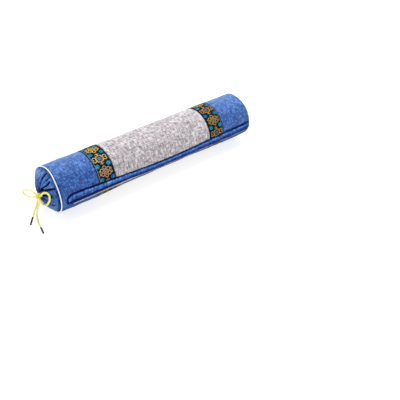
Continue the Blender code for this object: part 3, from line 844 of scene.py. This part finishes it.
def gather_piece(name, side, creases, drawn_creases, node, seed):
    """A cap of cloth drawn in from the piped seam to a pinched mouth, with radiating creases."""
    radii = np.concatenate([np.linspace(46.4, 12, 60), np.linspace(11.3, 6.2, 10)])
    dome = CAP_HEIGHT * (1 - (radii / RADIUS) ** 1.5) ** (1 / 1.2)
    depth = np.concatenate([CAP_RIM[:, 0], dome, CAP_MOUTH[:, 0]])
    radius = np.concatenate([CAP_RIM[:, 1], radii, CAP_MOUTH[:, 1]])
    loose = 1 - smoothstep(44.6, 46.4, radii)
    free = np.concatenate([np.zeros(len(CAP_RIM)), loose, np.ones(len(CAP_MOUTH))])
    turn = np.linspace(0, 360, 480, endpoint=False)[None, :]
    angle = np.radians(turn)
    d, r = depth[:, None], radius[:, None]

    def beside(at, bend):
        """Distance round the cap, in mm, from a crease that leans by bend on its way in."""
        return np.radians(wrapped(turn - at - bend * (1 - r / CAP_REACH))) * np.maximum(r, 7)

    height = np.zeros((len(depth), turn.size))
    flat_a, flat_z = r * np.cos(angle), r * np.sin(angle)
    for deep, wide, path in drawn_creases:
        away = path_distance(flat_a, flat_z, path)[0]
        height -= deep * np.exp(-((away / wide) ** 1.6))
        height += 0.3 * deep * bell(away - 2.3 * wide, 1.2 * wide)
    for at, deep, wide, bend, reach in creases:
        mm = beside(at, bend)
        grow = 1 - smoothstep(reach - 9, reach, r)
        height -= deep * grow * np.exp(-np.abs(mm / wide) ** 1.5)
        height += 0.42 * deep * grow * (bell(mm - 2.4 * wide, 1.7 * wide) + bell(mm + 2.4 * wide, 1.7 * wide))
    rng = np.random.default_rng(seed)
    small = np.zeros_like(height)
    for _ in range(26):
        mm = beside(rng.uniform(0, 360), rng.uniform(-14, 14))
        grow = 1 - smoothstep(rng.uniform(20, 42), 46, r)
        small += rng.uniform(-0.5, 0.35) * grow * bell(mm, rng.uniform(1.2, 2.6))
    height = (height + small) * np.minimum(1, r / 9 + 0.25) * free[:, None]
    # where the fullness of many creases adds up, it is pressed down
    height = np.minimum(height, 1.2 + 0.15 * (height - 1.2))
    # fullness beside the seam, and folds of the mouth
    height += 0.35 * np.cos(angle * 23 + 2 * np.sin(angle * 3)) * bell(r - 43.5, 3)
    mouth_fold = 0.75 * np.abs(np.sin(angle * 8 + 1.2 * np.sin(angle * 3)))
    outwards = np.minimum(1, r / SEAM_RADIUS)
    drawn = r - tuck(SEAM_X, turn) * outwards + mouth_fold * bell(r - 4.6, 3.2) * np.where(r < 12, 1, 0)
    x = side * (SEAM_X + d + height - seam_lean(turn) * outwards**2 * np.where(d < 0, 0, 1))
    in_rim = np.arange(len(depth))[:, None] < len(CAP_RIM)
    floor = np.where(in_rim, np.maximum(RADIUS - r, 2.4) + 1.2, 3.7)
    z = rest_on(AXIS_Z + drawn * np.sin(angle), np.where(d < 0, 0, floor), 0.3)
    rings = np.stack(np.broadcast_arrays(x, AXIS_Y - drawn * np.cos(angle), z), axis=-1)
    # painted shade, darker in the creases, at the seam's front and in the mouth, and painted light, lighter
    # above and towards the back
    shade = np.clip(1 + 0.42 * np.minimum(height, 0.3), 0.08, 1.12)
    rim_side = window(-75, -45, 25, 50, wrapped(turn))
    shade *= (1 - (0.3 + 0.42 * rim_side) * bell(46.9 - r, 2.6)) * (1 - 0.93 * bell(r, 12.5))
    shade *= 1 + 0.42 * smoothstep(10, 40, flat_z) + 0.25 * smoothstep(15, 38, -flat_a)
    tube_piece(name, rings, blue_end_cloth, node, flip=side < 0, shade=shade)


CREASES_DRAWN = (
    # (depth, half-width, places towards the front and upwards from the axis), in millimetres
    (5, 1.9, ((3.4, 46), (1.4, 41.4), (-0.5, 36.7), (-2.5, 31.4), (-2.9, 25.9), (-1.9, 21.3), (-1.7, 15.1),
                (-2.8, 9.1))),
    (2.6, 1.8, ((16.6, 42.9), (13.9, 39.9), (10.7, 34.6))),
    (1.8, 1.5, ((10.7, 34.6), (8.4, 28.8), (5.8, 21.8), (2.2, 14.6))),
    (5, 1.8, ((19.4, 36), (17.9, 32.6), (15.1, 27.1), (10, 20.9), (5.3, 15.7), (0.9, 10.2))),
    (5.2, 1.8, ((36, 28.6), (31.4, 27), (25.5, 23.2), (19, 19.2), (11.6, 15.7), (6.3, 12), (1, 7))),
    (3.4, 1.7, ((4, 2), (14, 5), (25, 9.5), (33, 10.5))),
    (3, 1.8, ((2, -3), (9, -10), (16.5, -19.7), (21, -30))),
    (2, 1.7, ((5, -1), (18, -5), (27.8, -11.4), (35.1, -8.4))),
)
CREASES_LEFT = (
    # (turn at the rim, depth, half-width in mm, bend towards the mouth, outer reach)
    (-84, 3.4, 1.4, 6, 46), (-106, 2.6, 1.6, 10, 38), (-128, 3.4, 1.4, 6, 46),
    (-150, 2.6, 1.5, -6, 38), (-172, 3.2, 1.4, -8, 45), (166, 2.2, 1.7, 6, 36),
    (146, 2.8, 1.5, 8, 42), (124, 2, 1.8, 10, 34), (104, 2.4, 1.4, 14, 40),
)
gather_piece("gathered_end_left", -1, CREASES_LEFT, CREASES_DRAWN, "gather_left", 11)

rng_right = np.random.default_rng(21)
CREASES_RIGHT = [
    [i * 360 / 18 + rng_right.uniform(-6, 6)]
    + [rng_right.uniform(a, b) for a, b in ((2.4, 4.6), (1.2, 1.6), (-12, 12), (36, 46))]
    for i in range(18)
]
gather_piece("gathered_end_right", 1, CREASES_RIGHT, (), "gather_right", 12)


# The piping.
PIPING_RADIUS = 1.15


def piping_piece(name, side, node):
    turn = np.linspace(0, 360, 320, endpoint=False)
    sides = 18
    pinch = 0.03 * ripples(31, turn * 0, turn, (10, 20), (24, 60), 16)
    centre = on_roll(side * SEAM_X, turn, 0.6, uneven=0, lift=1.35)
    oval = 1 + 0.02 * np.cos(3 * round_ring(sides))
    points = circles(centre, outward(turn), (1, 0, 0), (PIPING_RADIUS + pinch)[:, None] * oval, sides)
    verts = points.reshape(-1, 3)
    verts[:, 2] = np.maximum(verts[:, 2], 0.15)
    # one row of faces more joins the last ring to the first
    faces = grid_faces(len(turn) + 1, sides, True) % len(verts)
    mesh_piece(name, verts, faces.tolist(), white_satin, node)


piping_piece("piping_left_satin", -1, "piping_left")
piping_piece("piping_right_satin", 1, "piping_right")


# The flap over the zip.
FLAP_OVERHANG = 4.2
FLAP_RISES = np.array([
    # share of the way from the lower to the upper edge, rise over the cover, and the painted shade and
    # highlight of the cloth, at the left end and along the middle, where more of the turned-under fold shows
    (0, 0.9, 0.08, 0.28), (0.03, 1.5, 0.08, 0.28), (0.08, 2, 0.09, 0.28), (0.14, 2.3, 0.1, 0.3),
    (0.22, 2.5, 0.08, 0.32), (0.32, 2.55, 0.1, 0.36), (0.38, 2.6, 0.2, 0.4), (0.44, 2.6, 0.6, 0.42),
    (0.5, 2.6, 1, 0.48), (0.55, 2.6, 1.05, 0.55), (0.66, 2.6, 1.05, 0.75), (0.74, 2.75, 1.1, 1.1),
    (0.8, 3, 1.25, 1.35), (0.86, 3.3, 1.7, 1.5), (0.92, 3.4, 1.9, 1.55), (0.955, 2.9, 1.5, 1.2),
    (0.98, 1.5, 0.5, 0.6), (1, -2, 0.08, 0.2),
])


def strip_ring(x, turn, outer, inner):
    """Rings of a thin strip on the roll, out along its upper face and back along its lower one."""
    upper = on_roll(x[:, None], turn, outer, uneven=0.5)
    lower = on_roll(x[:, None], turn, inner, uneven=0.5)
    return np.concatenate([upper, lower[:, ::-1]], axis=1)


def flap_piece():
    """A folded strip: a soft roll along its sewn upper edge, flat face, and a free lower fold."""
    corner = FLAP_START + np.array([0, 0.25, 0.7, 1.3, 2, 3, 4.2])
    x = np.unique(np.concatenate([corner, np.linspace(FLAP_START + 5, FLAP_END, 340)]))
    share = np.linspace(0, 0.16, 9)[:-1], np.linspace(0.16, 0.78, 12)[:-1], np.linspace(0.78, 1, 16)
    share = np.concatenate(share)
    low, high, along = low_edge(x)[:, None], high_edge(x)[:, None], x[:, None]
    wave = 0.22 * np.sin(along / 13) + 0.16 * np.sin(along / 5.3 + 1)
    middle = window(-115, -55, 230, 237, along)
    over = FLAP_OVERHANG * middle
    turn = low - over + share * (high - low + over) + wave * (1 - share)
    level, light_left, light_middle = [np.interp(share, FLAP_RISES[:, 0], FLAP_RISES[:, k])
                                       for k in (1, 2, 3)]
    pucker = ripples(41, along, share[None, :] * 40, (8, 20), (1, 3), 18)
    rise = level + 0.16 * pucker * bell(share - 0.86, 0.14)
    rise += 0.12 * ripples(42, along, share[None, :] * 30, (20, 60), (1, 3), 12)
    start = np.sqrt(np.clip((along - FLAP_START) / 3, 0, 1))
    rise = rise * (0.25 + 0.75 * start)
    rings = strip_ring(x, turn, -rise, -np.minimum(rise - 0.35, np.maximum(rise - 1.75, 0.28)))
    shade = light_left + (light_middle - light_left) * middle
    shade = 1 + (shade - 1) * (0.3 + 0.7 * start)
    # painted shade: the strip's inner face is kept dark
    shade = np.concatenate([shade, np.full(shade.shape, 0.3)], axis=1)
    obj = tube_piece("flap_folded", rings, blue_fold_cloth, "flap", shade=shade)
    face = rings[:, :len(share)]
    flat_width = float(np.linalg.norm(np.diff(face, axis=1), axis=2).sum(axis=1).mean())
    return flat_width


print("flap width, mm", round(flap_piece(), 1))


# The zip.
COIL_DROP, COIL_HALF, COIL_WIRE, COIL_PITCH = 5.1, 1.4, 0.3, 1.25


def zip_pieces():
    x = np.linspace(-214, 236, 300)
    across = np.concatenate([np.linspace(-6.45, -3.6, 9), np.linspace(-3, 1.6, 5)])
    rings = strip_ring(x, low_edge(x)[:, None] + across[None, :], 0.35, 0.95)
    # painted shade: the tape is darkened where it runs in under the flap
    lit = 0.07 + 0.93 * (1 - smoothstep(-4.2, -3.4, across + 0.6))[None, :]
    lit = np.concatenate([lit, lit[:, ::-1]], axis=1)
    tube_piece("zip_tape_woven", rings, cream_tape, "zip_tape", shade=lit)
    # a closed coil: small arches across a middle line, leaning and shifted by turns
    share = np.linspace(-1, 1, 7)
    lift = 0.75 * np.sqrt(1 - 0.85 * share**2)
    arches = []
    for index, place in enumerate(np.arange(-211.5, 233.5, COIL_PITCH)):
        way = 1 if index % 2 else -1
        turn = low_edge(place) - COIL_DROP + share * COIL_HALF + 0.12 * way
        centre = on_roll(place + 0.22 * share * way, turn, 0.25 - lift, uneven=0.5)
        arches.append(circles(centre, outward(turn), (1.25, 0, 0), COIL_WIRE, 6))
    verts, faces = closed_tubes(arches)
    mesh_piece("zip_coil", verts, faces, cream_tape, "zip_chain", shade=np.ones(len(verts)))


zip_pieces()


# The ribbons: a charted repeat of scrolls and flowers.
CURL_A = rounded([(7.4, 2.2), (9.6, 4.6), (12.4, 5.2), (14.9, 3.6), (14.4, 0.9), (12.2, 0.4)], 9)
FINIAL_A = rounded([(0, 8.6), (0, 13.4)], 9)
LEAF_A = rounded([(0.4, 10.4), (2.4, 11.6), (4.4, 10.9)], 9)
CURL_B = rounded([(11, 0.9), (13.2, 2), (13.6, 4), (12, 4.8), (11.2, 3.6)], 9)
GROUND = np.array((0.0035, 0.012, 0.02))
GROUND_RIB = (0.007, 0.028, 0.038)
BROWN = (0.036, 0.014, 0.006)
METALS = np.array([
    # copper, tan, gold, yellow gold, orange gold
    (0.66, 0.38, 0.21), (0.72, 0.5, 0.25), (0.64, 0.42, 0.13), (0.68, 0.5, 0.15), (0.68, 0.36, 0.11),
])
BLUES = np.array([
    (0.022, 0.22, 0.38), (0.035, 0.3, 0.56), (0.03, 0.3, 0.36), (0.016, 0.19, 0.27), (0.022, 0.15, 0.4),
])
SKY = (0.16, 0.52, 0.66)
NAVY = (0.008, 0.035, 0.14)
EDGE_LINE = (0.26, 0.42, 0.4)
MEDALLION_PITCH = 28.3


def ribbon_chart(u, v, phase, first, metals, outer, tone):
    """Colour (with gold's share as its fourth value) and height of the ribbon at (u across, v along)."""
    index = np.floor((v - phase) / MEDALLION_PITCH + 0.5).astype(int)
    w = v - phase - index * MEDALLION_PITCH
    kind = (index + first) % 2
    rib = (np.floor(u / THREAD) + np.floor(v / THREAD)) % 3 == 0
    colour = np.zeros(u.shape + (4,))
    colour[..., :3] = np.where(rib[..., None], GROUND_RIB, GROUND)
    height = np.zeros(u.shape)
    own_metal = METALS[np.array(metals)[index % len(metals)]]

    def paint(mask, shade, gold=0, raise_by=0.22):
        shade = np.broadcast_to(np.asarray(shade), u.shape + (3,))
        colour[mask, :3] = shade[mask]
        colour[mask, 3] = gold
        height[mask] = raise_by

    au, aw = np.abs(u), np.abs(w)
    # pairs of small flowers half-way between the medallions
    for side in (-1, 1):
        for place in (-0.5, 0.5):
            du, dw = u - side * 12.4, w - place * MEDALLION_PITCH
            r, phi = np.hypot(du, dw), np.arctan2(dw, du)
            number = index + (1 if place > 0 else 0) + (2 if side > 0 else 0)
            blue = BLUES[(number * 2) % 5]
            petal = 4.8 * (0.88 + 0.12 * np.cos(5 * phi + side * 0.6 + number))
            paint(r < petal + 0.5, GROUND, 0, 0.05)
            paint(r < petal, blue)
            paint(r < 0.34 * petal, blue * 0.35)
            paint(np.hypot(du - 0.9 * side, dw + 0.9) < 0.9, SKY)
    # medallions of the first kind: a heavy ring with side curls and finials
    a = kind == 0
    r, phi = np.hypot(u, w), np.arctan2(w, u)
    paint(a & (r < 6.2), BROWN, 0, 0.05)
    for path, w0, w1 in ((CURL_A, 0.85, 0.5), (FINIAL_A, 0.8, 0.45), (LEAF_A, 0.55, 0.4)):
        far, at = path_distance(au, aw, path)
        paint(a & (far < w0 + (w1 - w0) * at), own_metal * 0.92, 1, 0.26)
    paint(a & (np.abs(r - 7.3 - 0.35 * np.cos(8 * phi)) < 1.3), own_metal, 1, 0.28)
    paint(a & (np.abs(r - 7.2) < 0.42), BROWN, 0, 0.12)
    paint(a & (r < 3.7), own_metal * 0.8, 1)
    paint(a & (r < 3.1), NAVY)
    paint(a & (r < 2.4 * (0.84 + 0.16 * np.cos(5 * phi + 0.7))), BLUES[index % 5] * 1.2)
    paint(a & (r < 0.8), NAVY)
    # medallions of the second kind: a wreath of six open loops round an inner ring
    b = kind == 1
    for k in range(6):
        turn = (k + 0.5) * math.pi / 3
        loop = np.hypot(u - 8.4 * math.cos(turn), w - 8.4 * math.sin(turn))
        paint(b & (np.abs(loop - 3.1) < 0.62), own_metal * 1.05, 1, 0.27)
        paint(b & (loop < 2.4), BROWN, 0, 0.05)
    paint(b & (path_distance(au, aw, CURL_B)[0] < 0.6), own_metal * 0.9, 1, 0.26)
    paint(b & (r < 4.6), BROWN, 0, 0.05)
    paint(b & (np.abs(r - 3.5) < 0.55), own_metal * 1.1, 1, 0.27)
    paint(b & (r < 1.2), METALS[1] * 1.2, 1)
    # edges: one pale line on the side towards the roll's end
    edge = u * outer
    paint((edge > 16.7) & (edge < 17.5), EDGE_LINE, 0, 0.16)
    paint((edge < -17.2) | (edge > 18), GROUND * 0.7, 0, 0.05)
    colour[..., :3] *= tone
    return colour, height


def ribbon_piece(name, centre, chart, node):
    """A woven ribbon laid round the roll, as a fine grid whose cells are its threads' crossings."""
    edge_u = np.linspace(-RIBBON_HALF, RIBBON_HALF, int(round(2 * RIBBON_HALF / THREAD)) + 1)
    low, high = low_edge(centre), high_edge(centre)
    start, stop = MM_PER_DEGREE * (high + 0.9), MM_PER_DEGREE * (360 + low - 7.3)
    edge_v = np.linspace(start, stop, int(round((stop - start) / THREAD)) + 1)
    middle_u = 0.5 * (edge_u[1:] + edge_u[:-1])
    middle_v = 0.5 * (edge_v[1:] + edge_v[:-1])
    cell_u, cell_v = np.meshgrid(middle_u, middle_v, indexing="ij")
    colour, raised = ribbon_chart(cell_u, cell_v, *chart)
    # cells' heights, spread to the corners and softened
    corner = np.pad(raised, 1, mode="edge")
    corner = 0.25 * (corner[1:, 1:] + corner[:-1, 1:] + corner[1:, :-1] + corner[:-1, :-1])
    u, v = np.meshgrid(edge_u, edge_v, indexing="ij")
    x = centre + u
    # the ribbon's ends follow the slanting seams beside them
    along = 12 * (v - start) / (stop - start)
    turn = v / MM_PER_DEGREE + (high_edge(x) - high) * np.clip(1 - along, 0, 1)
    turn = turn + (low_edge(x) - low) * np.clip(along - 11, 0, 1)
    drop = 0.55 * smoothstep(RIBBON_HALF - 0.9, RIBBON_HALF, np.abs(u)) ** 2
    verts = on_roll(x, turn, seam_inset(x, turn) - corner + drop + 0.05, uneven=0.6).reshape(-1, 3)
    rows, cols = u.shape
    faces = grid_faces(rows, cols)[:, ::-1].tolist()
    # a skirt that goes down into the cover's groove all round closes the edge
    number = np.arange(rows * cols).reshape(rows, cols)
    order = np.concatenate([number[:, 0], number[-1, 1:-1], number[::-1, -1], number[0, 1:-1][::-1]])
    sunk = verts[order] - radial(verts[order]) * 0.9
    sunk[:, 2] = np.maximum(sunk[:, 2], 0.4)
    below = len(verts) + np.arange(len(order))
    skirt = np.stack([np.roll(order, -1), np.roll(below, -1), below, order], axis=-1)
    shades = np.concatenate([colour.reshape(-1, 4), np.tile([*GROUND, 0], (len(order), 1))])
    verts, faces = np.vstack([verts, sunk]), faces + skirt.tolist()
    obj = mesh_piece(name, verts, faces, ribbon_look, node, corners=shades)
    return round(stop - start, 1)


print("ribbon lengths, mm", [
    # each chart: phase, first kind, metals in turn, side of the pale edge, tone
    ribbon_piece("ribbon_left_jacquard", RIBBON_CENTRES[0], (28.6, 1, (0, 1, 3, 2, 4), -1, 1),
                 "ribbon_left"),
    ribbon_piece("ribbon_right_jacquard", RIBBON_CENTRES[1], (14, 0, (2, 2, 4, 3, 2), 1, 0.78),
                 "ribbon_right"),
])


# The stitching.
STITCH_RADIUS = 0.2


def stitch_row(name, points, look, pitch=3, length=2.2):
    """Small raised stitches along a line of points on the roll."""
    step, normals = lengths_along(points), radial(points)
    share = np.linspace(0, 1, 6)
    stitches = []
    for start in np.arange(0.5, step[-1] - length, pitch):
        at = start + share * length
        centre, out = at_lengths(at, step, points), unit(at_lengths(at, step, normals))
        centre = centre + out * ((np.sin(share * math.pi) ** 0.5) * 0.22 - 0.12)[:, None]
        centre[:, 2] = np.maximum(centre[:, 2], STITCH_RADIUS + 0.02)
        side = np.cross(unit(np.gradient(centre, axis=0)), out)
        stitches.append(circles(centre, out, side, STITCH_RADIUS, 6))
    verts, faces = closed_tubes(stitches)
    mesh_piece(name, verts, faces, look)


def all_stitches():
    for name, centre in (("left", RIBBON_CENTRES[0]), ("right", RIBBON_CENTRES[1])):
        for label, side in (("a", -1), ("b", 1)):
            x = centre + side * (RIBBON_HALF - 0.8)
            turn = np.linspace(high_edge(x) + 1.5, 360 + low_edge(x) - 8, 500)
            points = on_roll(x, turn, seam_inset(x, turn) - 0.05, uneven=0.6)
            stitch_row("stitches_ribbon_%s_%s" % (name, label), points, teal_thread, 2.6, 1.9)
    x = np.linspace(FLAP_START + 6, FLAP_END - 1, 700)
    low, high = low_edge(x), high_edge(x)
    flap_row = on_roll(x, low + 0.24 * (high - low), -2.62, uneven=0.5)
    stitch_row("stitches_flap", flap_row, blue_thread)
    stitch_row("stitches_zip", on_roll(x, low - 9.2, 0)[14:], blue_thread)


all_stitches()


# The floor and the light.
FLOOR_HALF, FLOOR_Z = 6, -0.0003
LAMPS = (
    # name, place, aim, size, power
    ("key", (0.42, 0.5, 1.35), (0, 0, 0.05), 1.6, 23),
    ("fill", (-0.9, -1.4, 1), (-0.05, 0, 0.05), 1.4, 2.2),
)


def stage_scene():
    mesh = bpy.data.meshes.new("floor")
    corners = [(x * FLOOR_HALF, y * FLOOR_HALF, FLOOR_Z) for x, y in ((-1, -1), (1, -1), (1, 1), (-1, 1))]
    mesh.from_pydata(corners, [], [(0, 1, 2, 3)])
    look = Nodes("floor_white")
    look.surface({
        "Base Color": (0.52, 0.52, 0.52, 1),
        "Roughness": 0.9,
        "Emission Color": (1, 1, 1, 1),
        "Emission Strength": 0.745,
    })
    mesh.materials.append(look.material)
    floor = bpy.data.objects.new("floor", mesh)
    bpy.context.scene.collection.objects.link(floor)
    world = bpy.data.worlds.new("studio")
    world.use_nodes = True
    background = world.node_tree.nodes["Background"].inputs
    background["Color"].default_value = (1, 1, 1, 1)
    background["Strength"].default_value = 0.64
    bpy.context.scene.world = world
    for name, place, aim, size, power in LAMPS:
        data = bpy.data.lights.new(name, "AREA")
        data.shape = "DISK"
        data.size = size
        data.energy = power
        lamp = bpy.data.objects.new(name, data)
        lamp.location = place
        lamp.rotation_mode = "QUATERNION"
        lamp.rotation_quaternion = (Vector(aim) - Vector(place)).to_track_quat("-Z", "Y")
        bpy.context.scene.collection.objects.link(lamp)
    bpy.context.scene.view_settings.view_transform = "Standard"
    bpy.context.scene.view_settings.look = "None"


stage_scene()
